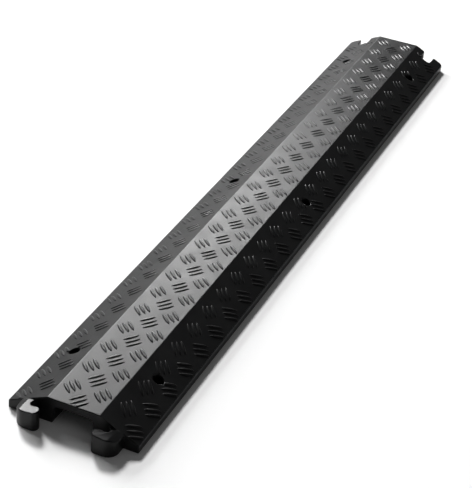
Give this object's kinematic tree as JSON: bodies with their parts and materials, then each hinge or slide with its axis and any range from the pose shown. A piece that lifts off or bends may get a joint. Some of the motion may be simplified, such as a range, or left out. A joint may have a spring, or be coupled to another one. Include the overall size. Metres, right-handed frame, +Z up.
{
  "type": "floor cord cover",
  "caption": "Low moulded ramp that drops over a cord on the floor: treaded flat top, sloping sides, a channel below, and hooks and sockets that join covers end to end.",
  "frame": {"origin": "on the floor under the middle of the whole length, hooks included, midway between the two long sides", "axes": "+X across the cover, +Y along it from the hooks towards the sockets, +Z up"},
  "size_m": [0.145, 1.021, 0.03],
  "materials": {
    "black_rubber": "moulded, satin, near black"
  },
  "bodies": {
    "root": {"cord_cover": "black_rubber"}
  },
  "joints": []
}
